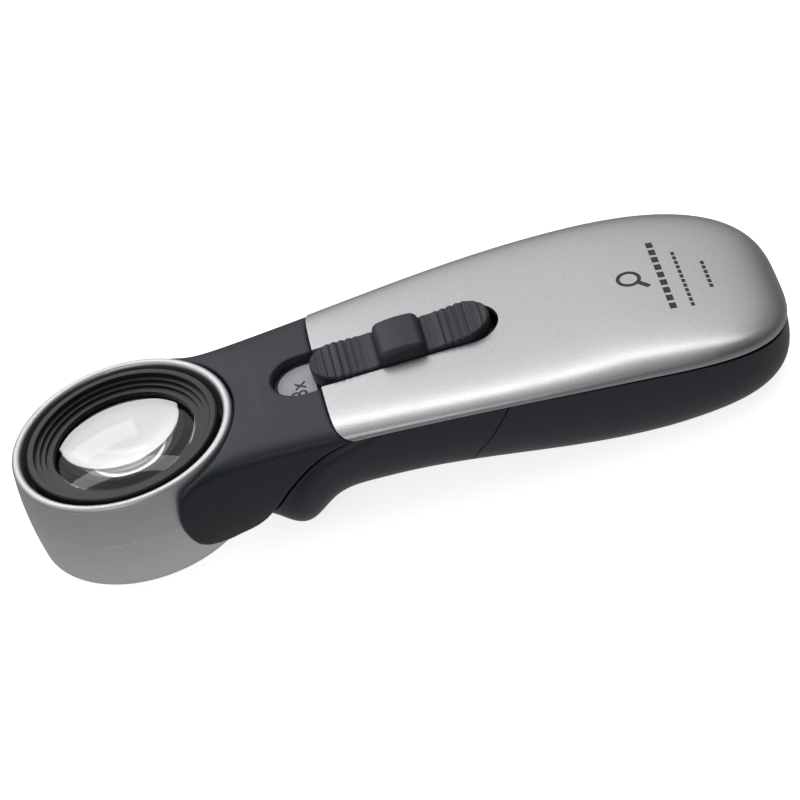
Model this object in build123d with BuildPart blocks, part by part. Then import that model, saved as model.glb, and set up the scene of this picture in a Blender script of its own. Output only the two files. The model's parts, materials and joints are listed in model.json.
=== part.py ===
"""Lighted hand lens: a round lens head on a battery handle with a slide switch."""
import os
from math import cos, exp, pi, radians, sin

from build123d import *

os.makedirs("parts", exist_ok=True)

# ---------------------------------------------------------------- driving sizes (mm)
overall_length = 172.6
lens_radius = 17.5
lens_lip = 1.3              # lip of the holder over the lens's edge
lens_play = 0.05
holder_wall = 4.1           # from the lens's edge to the outside of the holder
holder_gap = 1.4            # dark gap between the holder and the head rings
ring_wall = 2.6             # at the joint between the two head rings
head_height = 22.0
ring_joint_depth = 10.0
ring_joint_bevel = 0.06
holder_seat_depth = 9.0     # the holder's flange rests here in the head
holder_flange = 2.0

neck_width = 42.8           # where the handle leaves the head
neck_hollow = 25.6          # neck's hollow front face, which fits the head, from the stations' start
crown = 1.0                 # top of the handle above the rim plane
side_room = 0.625           # handle's half width beyond its share of the cells
side_share = 1.3            # thicker cells need more room for their corners in the round shell
grip_room_height = 4.8125   # grip's height beyond its share of the cells' thickness
grip_share = 1.075
belly_drop = 7.6            # belly below the grip
hook_at = 33.0              # finger hook, from the head's axis
hook_spread = 7.0

cover_wall = 1.4
shell_wall = 1.8
collar_wall = 1.3           # side lobes of the neck, around the head rings
shell_step = 0.4            # the dark shells sit this far inside the cover
part_gap = 0.3              # between shells that come apart
skirt_wall = 0.8

slot_width = 13.8
slot_start = 34.4
slot_end = 85.9
slot_depth = 3.2            # floor of the slot in the neck, below the crown
button_length = 40.7
button_play = 0.4           # each side of the button in its slot
button_rear_play = 1.7
slider_travel = 8.5
pad_height = 1.8            # thumb pads and block above the rim plane
pad_dish = 0.5
block_height = 4.2
block_length = 10.0
rib_pitch = 1.75
rib_height = 0.3
pad_base = 1.2              # underside of the button below the rim plane
carrier_thickness = 1.3
carrier_width = 18.0
carrier_length = 22.0

cell_radius = 7.25
cell_length = 50.5
cell_nub = 1.3
cell_nub_radius = 2.75
cell_gap = 0.2
cell_count = 3
cell_tilt = 4.3             # degrees, nose up
cell_roof = 5.1             # top of the cells' front ends below the rim plane
cell_start_share = 0.517    # cells' front ends, as a share of the reach
contact_room = 2.4
tray_wall = 0.8
tray_end = 1.3
tray_play = 0.15

plug_width = 12.0
plug_height = 4.0
plug_depth = 10.0           # plug's middle below the rim plane
plug_start = 30.3
plug_end = 53.0
plug_play = 0.1
socket_wall = 1.8
socket_start = 47.2
socket_end = 55.0
pin_pitch = 6.0
pin_radius = 0.9
pin_length = 4.5
plug_contact_radius = 0.6
plug_pad_radius = 1.4
plug_pad_height = 0.4

screw_radius = 1.4
screw_play = 0.05
screw_head = 2.8
screw_at = 60.0
screw_spread = 31.0
screw_length = 9.0
screw_head_height = 1.8
cross_length = 3.4          # cross recess for the screwdriver
cross_width = 0.6
cross_depth = 1.0
boss_radius = 3.2
boss_top = -14.0            # the two shells' screw bosses meet here
boss_floor = 2.0
head_screw_radius = 1.0
head_screw_head = 1.8
head_screw_depth = 14.8

lamp_depth = 12.2           # lamp's middle below the rim plane
window_width = 9.0
window_height = 3.6
lamp_width = 3.0
lamp_height = 2.8
lamp_dome = 1.1
lead_radius = 0.45

# ---------------------------------------------------------------- places worked out from them
lens_aperture = lens_radius - lens_lip
holder_radius = lens_radius + holder_wall
head_ring_bore = holder_radius + holder_gap
head_radius = head_ring_bore + ring_wall
handle_width = 2 * (side_share * cell_count * cell_radius + side_room)
grip_depth = 2 * grip_share * cell_radius + grip_room_height   # underside of the grip below the rim plane
belly_depth = grip_depth + belly_drop
head_x = head_radius - overall_length / 2
hilt_x = head_x + head_radius - neck_hollow   # the handle's stations are counted from here
rim_z = belly_depth - shell_step
hook_drop = belly_drop
reach = overall_length / 2 - hilt_x           # from there to the tail
waist_at = 14.0
stretch = reach / 147.0                       # the outline's stations follow the reach
top_fall = 1.6
top_fall_power = 1.6
width_power = 3.1                             # how squarely the tail closes, in plan, above and below
top_power = 1.8
bottom_power = 3.5
upper_fullness = 0.8                          # how square the sections are above and below the seam
lower_fullness = 0.93
belly_at = 107.0 * stretch
keel_at = 118.0 * stretch
grip_ends_at = 55.0
seam_starts_at = 48.0
seam_front = 2.9
seam_fall = 11.0

cell_pitch = 2 * cell_radius + cell_gap
cell_depth = cell_roof + cell_radius          # axis of the cells' front ends below the rim plane
cell_start = cell_start_share * reach

HEAD_SIDE = Plane(origin=(head_x, 0, rim_z), x_dir=(1, 0, 0), z_dir=(0, -1, 0))    # (radius, height)
HEAD_TOP = Plane(origin=(head_x, 0, rim_z))                                        # (x, y)
SIDE = Plane(origin=(hilt_x, 0, rim_z), x_dir=(1, 0, 0), z_dir=(0, -1, 0))         # (station, height)
TOP = Plane(origin=(hilt_x, 0, rim_z))                                             # (station, y)
REACH_OUT = 45.0                                                  # cuts run this far each way


# ---------------------------------------------------------------- the handle's outline
def ease(share):
    """0 to 1 with level ends."""
    share = min(max(share, 0.0), 1.0)
    return share * share * (3 - 2 * share)


def closing(share, power):
    """Superellipse that closes the outline at the tail."""
    if share <= 0:
        return 1.0
    return (1 - share**power) ** (1 / power)


def seam_height(station):
    """Height of the joint between the cover and the dark shells."""
    share = max(station - seam_starts_at, 0) / (reach - seam_starts_at)
    return -seam_front - seam_fall * share**2.5


def outline(station, inset):
    """Half width, top, seam and bottom of the handle at a station."""
    end = reach - inset
    half_neck = neck_width / 2
    swell = (handle_width / 2 - half_neck) * ease((station - waist_at) / (belly_at - waist_at))
    width = half_neck + swell - inset
    width *= closing((station - belly_at) / (end - belly_at), width_power)
    tail = seam_height(reach)
    top = crown - inset - top_fall * (max(station - hook_at, 0) / (60 * stretch)) ** top_fall_power
    top = tail + (top - tail) * closing((station - belly_at) / (end - belly_at), top_power)
    fall = (belly_depth - grip_depth) * ease((station - grip_ends_at) / (keel_at - grip_ends_at))
    hook = hook_drop * exp(-(((station - hook_at) / hook_spread) ** 2))
    bottom = -grip_depth - fall - hook + inset
    bottom = tail + (bottom - tail) * closing((station - keel_at) / (end - keel_at), bottom_power)
    return width, top, seam_height(station), bottom


def envelope(inset, start=10.0):
    """Solid inside the handle's outline, inset all round."""
    end = reach - inset
    front = [start] + [hook_at + 2.6 * k for k in range(-6, 8)]
    middle = [front[-1] + (belly_at - front[-1]) * k / 12 for k in range(1, 13)]
    tail = [belly_at + (end - belly_at) * sin(pi / 2 * k / 14) ** 0.8 for k in range(1, 14)]
    with BuildPart() as body:
        for station in sorted(front + middle + tail + [keel_at, end - 0.12]):
            width, top, seam, bottom = outline(station, inset)
            upper = upper_fullness * (top - seam)
            lower = lower_fullness * (seam - bottom)
            crest, keel = upper_fullness * width, lower_fullness * width
            plane = Plane(origin=(hilt_x + station, 0, rim_z), x_dir=(0, 1, 0), z_dir=(1, 0, 0))
            with BuildSketch(plane):
                with BuildLine():
                    Bezier((width, seam), (width, seam + upper), (crest, top), (0, top))
                    Bezier((0, top), (-crest, top), (-width, seam + upper), (-width, seam))
                    Bezier((-width, seam), (-width, seam - lower), (-keel, bottom), (0, bottom))
                    Bezier((0, bottom), (keel, bottom), (width, seam - lower), (width, seam))
                make_face()
        loft(ruled=True)
    return body.part


def moved(points, along, up):
    """The same points, moved in the side view."""
    return [(station + along, height + up) for station, height in points]


def seam_points(start, end, count=12):
    """Points along the cover's seam."""
    return [(start + (end - start) * k / count, seam_height(start + (end - start) * k / count))
            for k in range(count + 1)]


# Side-view joints between the shells, from the top down (station, height).
neck_back = [(44.3, 6.0), (44.4, 1.0), (45.9, -1.4), (48.4, -3.1)]
parting = [(48.4, -3.1), (42.4, -4.8), (37.0, -7.8), (31.4, -12.4), (28.2, -16.0), (25.5, -18.5)]
hatch_front = [(82.0, -3.9), (79.3, -7.6), (76.2, -11.5), (73.4, -14.2), (70.9, -18.0), (69.4, -21.0),
               (69.0, -30.0)]

outer = envelope(0.0)
dark_outer = envelope(shell_step)
dark_inner = envelope(shell_step + shell_wall, 8.0)
cover_inner = envelope(cover_wall, 8.0)
skirt_root = envelope(cover_wall - 0.6, 8.0)      # sinks into the cover's wall
skirt_outer = envelope(shell_step + shell_wall + part_gap, 8.0)
skirt_inner = envelope(shell_step + shell_wall + part_gap + skirt_wall, 8.0)

# ---------------------------------------------------------------- head rings
seat_radius = holder_radius + 0.2
with BuildPart() as head_ring:
    with BuildSketch(HEAD_SIDE):
        with BuildLine():
            Line((head_ring_bore, -holder_seat_depth), (head_ring_bore, -0.4))
            ThreePointArc((head_ring_bore, -0.4), (head_ring_bore + 0.35, 0.3), (head_ring_bore + 1.0, 0.5))
            ThreePointArc((head_ring_bore + 1.0, 0.5), (head_radius - 0.85, 0.25), (head_radius - 0.55, -0.6))
            ThreePointArc((head_radius - 0.55, -0.6), (head_radius - 0.12, -5.2),
                          (head_radius, ring_joint_bevel - ring_joint_depth))
            Polyline((head_radius, ring_joint_bevel - ring_joint_depth),
                     (head_radius - ring_joint_bevel, -ring_joint_depth), (seat_radius, -ring_joint_depth),
                     (seat_radius, -holder_seat_depth), (head_ring_bore, -holder_seat_depth))
        make_face()
    revolve(axis=Axis((head_x, 0, 0), (0, 0, 1)))
head_ring.part.label = "head_ring"

foot_bore = head_ring_bore - 0.1
screw_seat = foot_bore - 0.2
window_plane = Plane(origin=(head_x, 0, rim_z - lamp_depth), x_dir=(0, 1, 0), z_dir=(1, 0, 0))
lamp_plane = Plane(origin=(hilt_x, 0, rim_z - lamp_depth), x_dir=(0, 1, 0), z_dir=(1, 0, 0))
screw_planes = [
    Plane(origin=(head_x + screw_seat * cos(a), screw_seat * sin(a), rim_z - head_screw_depth),
          z_dir=(cos(a), sin(a), 0))
    for a in (radians(-40), radians(40))
]
with BuildPart() as foot_ring:
    with BuildSketch(HEAD_SIDE):
        with BuildLine():
            Polyline((head_radius, -ring_joint_depth - ring_joint_bevel),
                     (head_radius - ring_joint_bevel, -ring_joint_depth),
                     (foot_bore, -ring_joint_depth), (foot_bore, -head_height),
                     (head_radius - 1.4, -head_height))
            ThreePointArc((head_radius - 1.4, -head_height), (head_radius - 0.9, 0.2 - head_height),
                          (head_radius - 0.7, 0.8 - head_height))
            ThreePointArc((head_radius - 0.7, 0.8 - head_height), (head_radius - 0.2, -16.0),
                          (head_radius, -ring_joint_depth - ring_joint_bevel))
        make_face()
    revolve(axis=Axis((head_x, 0, 0), (0, 0, 1)))
    with BuildSketch(window_plane.offset(foot_bore - 8)):
        Rectangle(window_width, window_height)
    extrude(amount=20, mode=Mode.SUBTRACT)
    for plane in screw_planes:
        with BuildSketch(plane.offset(-2)):
            Circle(head_screw_radius + screw_play)
        extrude(amount=6, mode=Mode.SUBTRACT)
foot_ring.part.label = "foot_ring"

# ---------------------------------------------------------------- lens and its holder
lens_edge_top = -3.3
lens_edge_bottom = -6.0
step_radii = [lens_aperture + 3.8, lens_aperture + 2.7, lens_aperture + 1.6]
step_depths = [0.8, 1.5, 2.1]
holder_height = 12.0
skirt_radius = lens_radius + 1.9               # the holder's lower tube round the lens
with BuildPart() as lens_holder:
    with BuildSketch(HEAD_SIDE):
        with BuildLine():
            Polyline((lens_radius + lens_play, -holder_height), (lens_radius + lens_play, lens_edge_top),
                     (lens_aperture, lens_edge_top), (lens_aperture, -step_depths[2]),
                     (step_radii[2], -step_depths[2]), (step_radii[2], -step_depths[1]),
                     (step_radii[1], -step_depths[1]), (step_radii[1], -step_depths[0]),
                     (step_radii[0], -step_depths[0]), (step_radii[0], 0.1), (step_radii[0] + 0.15, 0.2),
                     (holder_radius - 0.3, 0.2), (holder_radius, -0.1),
                     (holder_radius, holder_flange - holder_seat_depth),
                     (head_ring_bore, holder_flange - holder_seat_depth),
                     (head_ring_bore, -holder_seat_depth), (skirt_radius, -holder_seat_depth),
                     (skirt_radius, -holder_height), close=True)
        make_face()
    revolve(axis=Axis((head_x, 0, 0), (0, 0, 1)))
lens_holder.part.label = "lens_holder"

lens_top_radius = 50.5
lens_bottom_radius = 23.0
lens_rim = lens_aperture - 0.2


def sag(sphere, radius):
    """Depth of a spherical cap."""
    return sphere - (sphere**2 - radius**2) ** 0.5


with BuildPart() as lens:
    with BuildSketch(HEAD_SIDE):
        with BuildLine():
            top = lens_edge_top + sag(lens_top_radius, lens_rim)
            low = lens_edge_bottom - sag(lens_bottom_radius, lens_rim)
            half = lens_rim / 2
            Line((0, low), (0, top))
            ThreePointArc((0, top), (half, top - sag(lens_top_radius, half)), (lens_rim, lens_edge_top))
            Polyline((lens_rim, lens_edge_top), (lens_radius, lens_edge_top),
                     (lens_radius, lens_edge_bottom), (lens_rim, lens_edge_bottom))
            ThreePointArc((lens_rim, lens_edge_bottom), (half, low + sag(lens_bottom_radius, half)), (0, low))
        make_face()
    revolve(axis=Axis((head_x, 0, 0), (0, 0, 1)))
lens.part.label = "lens"

retainer_height = 2.6
notch_length = 1.8           # two notches for the tool that screws the retainer in
notch_width = 1.4
notch_depth = 1.2
with BuildPart() as lens_retainer:
    with BuildSketch(HEAD_TOP.offset(lens_edge_bottom)):
        Circle(lens_radius)
        Circle(lens_rim, mode=Mode.SUBTRACT)
    extrude(amount=-retainer_height)
    with BuildSketch(HEAD_TOP.offset(lens_edge_bottom - retainer_height)):
        with PolarLocations(lens_radius - 0.8, 2):
            Rectangle(notch_length, notch_width)
    extrude(amount=notch_depth, mode=Mode.SUBTRACT)
lens_retainer.part.label = "lens_retainer"

# ---------------------------------------------------------------- neck
neck_bottom = [(25.5, -18.5), (24.4, -20.2), (21.3, -21.5), (16.8, -21.6), (12.2, -19.6), (9.1, -15.8),
               (7.8, -9.5), (9.6, -2.6), (13.5, -0.7), (20.0, -0.1), (26.0, 0.4), (31.0, 0.9), (33.0, 3.0)]
# Hollow behind the light window, drawn like the parting above.
chamber = [(24.0, -9.6), (28.3, -9.6), (28.3, -4.2), (39.0, -4.2), (35.6, -6.8), (30.0, -11.6),
           (28.2, -14.0), (24.0, -14.0)]
with BuildPart() as plug:
    with BuildSketch(Plane(origin=(hilt_x + plug_start, 0, rim_z - plug_depth), x_dir=(0, 1, 0),
                           z_dir=(1, 0, 0))):
        RectangleRounded(plug_width, plug_height, 0.6)
    extrude(amount=plug_end - plug_start)
    with BuildSketch(Plane(origin=(hilt_x + plug_start - 1, 0, rim_z - plug_depth), x_dir=(0, 1, 0),
                           z_dir=(1, 0, 0))):
        with Locations((-pin_pitch / 2, 0), (pin_pitch / 2, 0)):
            Circle(plug_contact_radius)
    extrude(amount=plug_end - plug_start + 2, mode=Mode.SUBTRACT)
plug.part.label = "plug"

with BuildPart() as neck_shell:
    add(envelope(part_gap, 12.0))
    with BuildSketch(HEAD_TOP.offset(0.6)):
        Circle(head_radius + collar_wall)
    extrude(amount=-head_height - 0.6)
    with BuildSketch(SIDE):
        with BuildLine():
            Spline(*neck_back)
            Spline(*parting)
            Spline(*neck_bottom)
            Line(neck_bottom[-1], (33.0, 6.0))
            Line((33.0, 6.0), neck_back[0])
        make_face()
    extrude(amount=REACH_OUT, both=True, mode=Mode.INTERSECT)
    with BuildSketch(HEAD_TOP.offset(5)):
        Circle(head_radius)
    extrude(amount=-40, mode=Mode.SUBTRACT)
    with BuildSketch(SIDE):
        with BuildLine():
            Polyline(*chamber, close=True)
        make_face()
    extrude(amount=window_width / 2 + 0.3, both=True, mode=Mode.SUBTRACT)
    with BuildSketch(TOP.offset(crown - slot_depth)):
        with Locations(((slot_start + slot_end) / 2, 0)):
            SlotOverall(slot_end - slot_start, slot_width)
    extrude(amount=10, mode=Mode.SUBTRACT)
    with BuildSketch(Plane(origin=(hilt_x + plug_start, 0, rim_z - plug_depth), x_dir=(0, 1, 0),
                           z_dir=(1, 0, 0))):
        RectangleRounded(plug_width, plug_height, 0.6)
    extrude(amount=plug_end - plug_start, mode=Mode.SUBTRACT)
    for plane in screw_planes:
        with BuildSketch(plane):
            Circle(head_screw_radius + screw_play)
        extrude(amount=6.2, mode=Mode.SUBTRACT)
neck_shell.part.label = "neck_shell"

with BuildPart() as power_plate:
    with BuildSketch(TOP.offset(crown - slot_depth)):
        with Locations(((slot_start + slot_end) / 2, 0)):
            SlotOverall(slot_end - slot_start - 2.0, slot_width - 2.0)
        with Locations((slot_start + 9.4 + REACH_OUT, 0)):
            Rectangle(2 * REACH_OUT, slot_width, mode=Mode.SUBTRACT)
    extrude(amount=0.5)
power_plate.part.label = "power_plate"

with BuildPart() as head_screws:
    for plane in screw_planes:
        with BuildSketch(plane):
            Circle(head_screw_radius)
        extrude(amount=6)
        with BuildSketch(plane):
            Circle(head_screw_head)
        extrude(amount=-head_screw_head / 2)
head_screws.part.label = "head_screws"

# ---------------------------------------------------------------- lamp
with BuildPart() as light_window:
    with BuildSketch(window_plane.offset(foot_bore - 0.7)):
        Rectangle(window_width, window_height)
    extrude(amount=2.8)
light_window.part.label = "light_window"

with BuildPart() as lamp_board:
    with BuildSketch(lamp_plane.offset(27.0)):
        Rectangle(window_width - 0.6, window_height - 0.4)
    extrude(amount=1.0)
lamp_board.part.label = "lamp_board"

with BuildPart() as lamp:
    with BuildSketch(lamp_plane.offset(26.0)):
        Rectangle(lamp_width, lamp_height)
    extrude(amount=1.0)
    with BuildSketch(lamp_plane.offset(26.0)):
        Circle(lamp_dome)
    extrude(amount=-0.4)
lamp.part.label = "lamp"

with BuildPart() as plug_contacts:
    with BuildSketch(Plane(origin=(hilt_x + plug_start, 0, rim_z - plug_depth), x_dir=(0, 1, 0),
                           z_dir=(1, 0, 0))):
        with Locations((-pin_pitch / 2, 0), (pin_pitch / 2, 0)):
            Circle(plug_contact_radius)
    extrude(amount=plug_end - plug_start)
    with BuildSketch(Plane(origin=(hilt_x + plug_end, 0, rim_z - plug_depth), x_dir=(0, 1, 0),
                           z_dir=(1, 0, 0))):
        with Locations((-pin_pitch / 2, 0), (pin_pitch / 2, 0)):
            Circle(plug_pad_radius)
    extrude(amount=plug_pad_height)
plug_contacts.part.label = "plug_contacts"

with BuildPart() as lamp_leads:
    for side in (-1, 1):
        start = Vector(hilt_x + 28.2, side * pin_pitch / 2, rim_z - lamp_depth + 0.6)
        end = Vector(hilt_x + plug_start - 0.2, side * pin_pitch / 2, rim_z - plug_depth)
        with BuildSketch(Plane(origin=start, z_dir=end - start)):
            Circle(lead_radius)
        extrude(amount=(end - start).length)
lamp_leads.part.label = "lamp_leads"

# ---------------------------------------------------------------- top cover
with BuildPart() as top_cover:
    add(outer)
    add(cover_inner, mode=Mode.SUBTRACT)
    with BuildSketch(SIDE):
        with BuildLine():
            Spline(*moved(neck_back, 0.2, 0))
            Line((neck_back[-1][0] + 0.2, neck_back[-1][1]), seam_points(49.5, reach + 4)[0])
            Spline(*seam_points(49.5, reach + 4))
            Polyline(seam_points(49.5, reach + 4)[-1], (reach + 4, 6.0), (neck_back[0][0] + 0.2, 6.0))
        make_face()
    extrude(amount=REACH_OUT, both=True, mode=Mode.INTERSECT)
    for side in (-1, 1):
        with BuildSketch(TOP.offset(boss_top)):
            with Locations((screw_at, side * screw_spread / 2)):
                Circle(boss_radius)
        extrude(until=Until.NEXT)
    with BuildSketch(TOP.offset(boss_top)):
        with Locations((screw_at, -screw_spread / 2), (screw_at, screw_spread / 2)):
            Circle(screw_radius + screw_play)
    extrude(amount=10, mode=Mode.SUBTRACT)
    with BuildSketch(TOP.offset(-5)):
        with Locations(((slot_start + slot_end) / 2, 0)):
            SlotOverall(slot_end - slot_start, slot_width)
    extrude(amount=10, mode=Mode.SUBTRACT)

# An inner skirt laps the joint and hides it from outside.
ledge_height = 1.0
skirt_drop = 2.2
low_edge = moved(seam_points(52.0, reach + 4), 0, -skirt_drop)
mid_edge = moved(seam_points(52.0, reach + 4), 0, 0.1)
high_edge = moved(seam_points(52.0, reach + 4), 0, ledge_height)
with BuildPart() as relief:
    add(outer)
    add(skirt_outer, mode=Mode.SUBTRACT)
    with BuildSketch(SIDE):
        with BuildLine():
            Spline(*mid_edge)
            Polyline(mid_edge[-1], (reach + 4, -40), (40.0, -40), (40.0, mid_edge[0][1]), mid_edge[0])
        make_face()
    extrude(amount=REACH_OUT, both=True, mode=Mode.INTERSECT)

with BuildPart() as skirt:
    add(skirt_root)
    add(skirt_inner, mode=Mode.SUBTRACT)
    with BuildSketch(SIDE):
        with BuildLine():
            Spline(*low_edge)
            Spline(*high_edge)
            Line(low_edge[0], high_edge[0])
            Line(low_edge[-1], high_edge[-1])
        make_face()
    extrude(amount=REACH_OUT, both=True, mode=Mode.INTERSECT)
    add(relief, mode=Mode.SUBTRACT)
    with BuildSketch(TOP.offset(-40)):
        with BuildLine():
            inner_edge = [(k, outline(k, 6.0)[0]) for k in range(45, int(belly_at) + 21, 5)]
            Spline(*inner_edge)
            Spline(*[(station, -half) for station, half in inner_edge])
            Line(inner_edge[0], (inner_edge[0][0], -inner_edge[0][1]))
            Line(inner_edge[-1], (inner_edge[-1][0], -inner_edge[-1][1]))
        make_face()
    extrude(amount=80, mode=Mode.SUBTRACT)

with top_cover:
    add(skirt)
top_cover.part.label = "top_cover"

# ---------------------------------------------------------------- grip shell and battery cover
grip_front = moved(parting, part_gap, -0.2)
wall_front = moved(parting, part_gap + shell_wall, -0.2 - shell_wall)
shell_edge = moved(seam_points(grip_front[0][0], 82.0), 0, -shell_step)
hatch_edge = moved(seam_points(82.0, reach + 4), 0, -shell_step)
with BuildPart() as grip_room:
    add(dark_inner)
    with BuildSketch(SIDE):
        with BuildLine():
            Spline(*wall_front)
            Polyline(wall_front[-1], (wall_front[-1][0], -40), (100.0, -40), (100.0, 6.0),
                     (wall_front[0][0], 6.0), wall_front[0])
        make_face()
    extrude(amount=REACH_OUT, both=True, mode=Mode.INTERSECT)

boss_bottom = outline(screw_at, shell_step)[3] + 0.2
with BuildPart() as grip_shell:
    add(dark_outer)
    add(grip_room, mode=Mode.SUBTRACT)
    with BuildSketch(TOP.offset(boss_top - 0.1)):
        with Locations((screw_at, -screw_spread / 2), (screw_at, screw_spread / 2)):
            Circle(screw_head + 1.5)
    extrude(amount=boss_bottom - boss_top + boss_floor)
    with BuildSketch(SIDE):
        with BuildLine():
            Spline(*grip_front)
            Polyline(grip_front[-1], (grip_front[-1][0], -40), (hatch_front[-1][0], -40),
                     hatch_front[-1])
            Spline(*hatch_front)
            Line(hatch_front[0], shell_edge[-1])
            Spline(*shell_edge)
            Line(shell_edge[0], grip_front[0])
        make_face()
    extrude(amount=REACH_OUT, both=True, mode=Mode.INTERSECT)
    with BuildSketch(TOP.offset(boss_top)):
        with Locations((screw_at, -screw_spread / 2), (screw_at, screw_spread / 2)):
            Circle(screw_radius + 0.3)
    extrude(amount=-20, mode=Mode.SUBTRACT)
    with BuildSketch(TOP.offset(boss_top - boss_floor)):
        with Locations((screw_at, -screw_spread / 2), (screw_at, screw_spread / 2)):
            Circle(screw_head + 0.1)
    extrude(amount=-20, mode=Mode.SUBTRACT)
    with BuildSketch(Plane(origin=(hilt_x + 24, 0, rim_z - plug_depth), x_dir=(0, 1, 0),
                           z_dir=(1, 0, 0))):
        Rectangle(plug_width + 2 * part_gap, plug_height + 2 * part_gap)
    extrude(amount=22, mode=Mode.SUBTRACT)
grip_shell.part.label = "grip_shell"

with BuildPart() as battery_cover:
    add(dark_outer)
    add(dark_inner, mode=Mode.SUBTRACT)
    with BuildSketch(SIDE):
        with BuildLine():
            rear_front = moved(hatch_front, part_gap, 0)
            rear_edge = moved(seam_points(rear_front[0][0], reach + 4), 0, -shell_step)
            Spline(*rear_front)
            Line(rear_front[0], rear_edge[0])
            Spline(*rear_edge)
            Polyline(rear_edge[-1], (reach + 4, -40), (rear_front[-1][0], -40), rear_front[-1])
        make_face()
    extrude(amount=REACH_OUT, both=True, mode=Mode.INTERSECT)
battery_cover.part.label = "battery_cover"

with BuildPart() as case_screws:
    with BuildSketch(TOP.offset(boss_top - boss_floor)):
        with Locations((screw_at, -screw_spread / 2), (screw_at, screw_spread / 2)):
            Circle(screw_radius)
    extrude(amount=screw_length)
    with BuildSketch(TOP.offset(boss_top - boss_floor)):
        with Locations((screw_at, -screw_spread / 2), (screw_at, screw_spread / 2)):
            Circle(screw_head)
    extrude(amount=-screw_head_height)
    with BuildSketch(TOP.offset(boss_top - boss_floor - screw_head_height)):
        with Locations((screw_at, -screw_spread / 2), (screw_at, screw_spread / 2)):
            Rectangle(cross_length, cross_width)
            Rectangle(cross_width, cross_length)
    extrude(amount=cross_depth, mode=Mode.SUBTRACT)
case_screws.part.label = "case_screws"

# ---------------------------------------------------------------- cells, tray and contacts
tilt = radians(cell_tilt)
CELLS = Plane(origin=(hilt_x + cell_start, 0, rim_z - cell_depth), x_dir=(cos(tilt), 0, -sin(tilt)),
              z_dir=(sin(tilt), 0, cos(tilt)))     # local (along the cells, y)
rows = [(k - (cell_count - 1) / 2) * cell_pitch for k in range(cell_count)]
rack_half = rows[-1] + cell_radius + tray_play


def across(along):
    """Plane across the cells at a distance from their front ends."""
    place = CELLS.origin + CELLS.x_dir * along
    return Plane(origin=place, x_dir=(0, 1, 0), z_dir=CELLS.x_dir)


cells = []
for number, row in enumerate(rows, 1):
    nub_first = number % 2 == 1
    with BuildPart() as cell:
        with BuildSketch(across(cell_nub if nub_first else 0)):
            with Locations((row, 0)):
                Circle(cell_radius)
        extrude(amount=cell_length - cell_nub)
        with BuildSketch(across(0 if nub_first else cell_length - cell_nub)):
            with Locations((row, 0)):
                Circle(cell_nub_radius)
        extrude(amount=cell_nub)
    cell.part.label = f"battery_{number}"
    cells.append(cell)

tray_front = -contact_room - tray_end
tray_rear = cell_length + contact_room + tray_end
roof = cell_radius + tray_play
with BuildPart() as battery_tray:
    with BuildSketch(CELLS.offset(roof + tray_wall)):
        with Locations(((tray_front + tray_rear) / 2, 0)):
            Rectangle(tray_rear - tray_front, 2 * (rack_half + tray_wall))
    extrude(amount=-(roof + tray_wall + 5.5))
    with BuildSketch(CELLS.offset(roof)):
        with Locations((cell_length / 2, 0)):
            Rectangle(cell_length + 2 * contact_room, 2 * rack_half)
    extrude(amount=-(roof + 10), mode=Mode.SUBTRACT)
    with BuildSketch(CELLS.offset(-1.0)):
        with Locations((cell_length / 2, 0)):
            Rectangle(cell_length, 4 * rack_half)
    extrude(amount=-10, mode=Mode.SUBTRACT)
    add(skirt_inner, mode=Mode.INTERSECT)
battery_tray.part.label = "battery_tray"

plate_thickness = 0.4
plate_width = 10.0
plate_height = 9.0
stud_radius = 2.2
spring_base = 4.0            # outer radius at the plate
spring_tip = 2.4             # outer radius at the cell
spring_wall = 0.7
with BuildPart() as contact_plates:
    for end, facing in ((-contact_room, 1), (cell_length + contact_room, -1)):
        for number, row in enumerate(rows, 1):
            with BuildSketch(across(end)):
                with Locations((row, 0)):
                    Rectangle(plate_width, plate_height)
            extrude(amount=facing * plate_thickness)
            nub_here = (number % 2 == 1) == (facing == 1)
            if nub_here:
                with BuildSketch(across(end)):
                    with Locations((row, 0)):
                        Circle(stud_radius)
                extrude(amount=facing * contact_room)
contact_plates.part.label = "contact_plates"

with BuildPart() as contact_springs:
    for end, facing in ((-contact_room, 1), (cell_length + contact_room, -1)):
        for number, row in enumerate(rows, 1):
            spring_here = (number % 2 == 1) != (facing == 1)
            if spring_here:
                base = across(end + facing * plate_thickness)
                tip = across(end + facing * contact_room)
                for wall, mode in ((0, Mode.ADD), (spring_wall, Mode.SUBTRACT)):
                    with BuildSketch(base):
                        with Locations((row, 0)):
                            Circle(spring_base - wall)
                    with BuildSketch(tip):
                        with Locations((row, 0)):
                            Circle(spring_tip - wall)
                    loft(mode=mode)
contact_springs.part.label = "contact_springs"

# ---------------------------------------------------------------- socket, driver board and switch
with BuildPart() as socket:
    with BuildSketch(Plane(origin=(hilt_x + socket_start, 0, rim_z - plug_depth), x_dir=(0, 1, 0),
                           z_dir=(1, 0, 0))):
        Rectangle(plug_width + 2 * (plug_play + socket_wall), plug_height + 2 * (plug_play + socket_wall))
        Rectangle(plug_width + 2 * plug_play, plug_height + 2 * plug_play, mode=Mode.SUBTRACT)
    extrude(amount=socket_end - socket_start)
    with BuildSketch(Plane(origin=(hilt_x + socket_end, 0, rim_z - plug_depth), x_dir=(0, 1, 0),
                           z_dir=(1, 0, 0))):
        Rectangle(plug_width + 2 * plug_play, plug_height + 2 * plug_play)
        with Locations((-pin_pitch / 2, 0), (pin_pitch / 2, 0)):
            Circle(pin_radius + 0.05, mode=Mode.SUBTRACT)
    extrude(amount=-1.0)
socket.part.label = "socket"

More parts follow.
